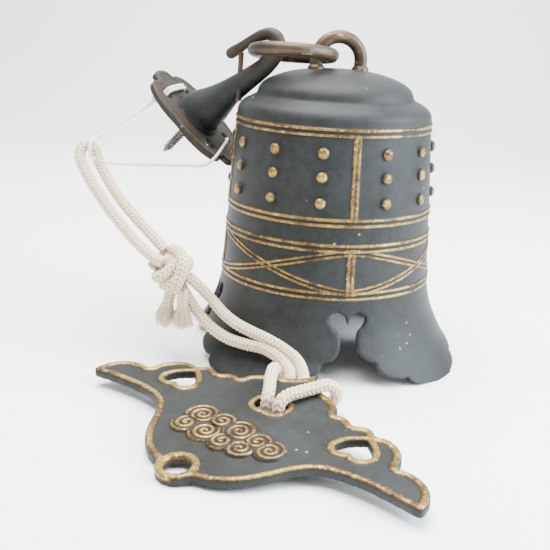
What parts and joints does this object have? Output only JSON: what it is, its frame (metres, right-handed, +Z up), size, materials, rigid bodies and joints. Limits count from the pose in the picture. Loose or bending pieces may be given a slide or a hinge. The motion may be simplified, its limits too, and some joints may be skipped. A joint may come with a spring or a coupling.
{
  "type": "yard bell",
  "caption": "Cast temple-style bell with inner clapper, hanging ring, hooked wall bracket, pull rope and cloud-shaped sail plate.",
  "frame": {"origin": "on the floor, under the middle of the rigid pieces' bounding box", "axes": "+Z up along the bell's axis, +Y from the sail plate towards the bell"},
  "size_m": [0.3145, 0.3938, 0.2592],
  "materials": {
    "painted_casting": "grey-green paint, worn gold on the relief",
    "bronze_patina": "brown bronze patina with bright scratches",
    "steel_fastener": "dull, lightly rusted",
    "cotton_rope": "braided cotton",
    "tie_string": "white twisted string"
  },
  "bodies": {
    "bell": {"bell_shell": "painted_casting", "crown_loop": "bronze_patina", "loop_washer_left": "steel_fastener", "loop_washer_right": "steel_fastener", "loop_nut_left": "steel_fastener", "loop_nut_right": "steel_fastener", "hanger_strap": "steel_fastener", "rope_pull": "cotton_rope", "rope_knot": "cotton_rope", "rope_tail_1": "cotton_rope", "rope_tail_2": "cotton_rope", "rope_loop": "cotton_rope"},
    "link": {"clapper_link": "steel_fastener"},
    "clapper": {"clapper_rod": "steel_fastener", "clapper_ball": "bronze_patina", "clapper_nut": "steel_fastener", "clapper_lower_nut": "steel_fastener"},
    "bracket": {"wall_plate": "painted_casting", "lag_screw": "steel_fastener", "hook_arm": "painted_casting", "keeper_pin": "bronze_patina", "tie_string": "tie_string", "tie_knot": "tie_string"},
    "ring": {"link_ring": "bronze_patina"},
    "sail": {"sail_plate": "painted_casting"}
  },
  "joints": [
    {"name": "link_swing", "type": "hinge", "parent": "bell", "child": "link", "pos_m": [0.02641, 0.08531, 0.2028], "axis": [0.972, 0.2351, 0], "range_deg": [-8, 8]},
    {"name": "clapper_swing", "type": "hinge", "parent": "link", "child": "clapper", "pos_m": [0.02641, 0.08531, 0.1928], "axis": [-0.2351, 0.972, 0], "range_deg": [-32, 32]},
    {"name": "bracket_swing", "type": "hinge", "parent": "bell", "child": "bracket", "pos_m": [0.02111, 0.08131, 0.2395], "axis": [0, 1, 0], "range_deg": [0, 6], "deforming": ["rope_loop"]},
    {"name": "ring_swing", "type": "hinge", "parent": "bracket", "child": "ring", "pos_m": [-0.04069, 0.08531, 0.2408], "axis": [0, 1, 0], "range_deg": [-0.8, 2.2]},
    {"name": "sail_tilt", "type": "hinge", "parent": "bell", "child": "sail", "pos_m": [0.02349, -0.04891, 0.02257], "axis": [-0.8195, 0.5732, 0], "range_deg": [0, 45], "deforming": ["rope_pull"]}
  ]
}
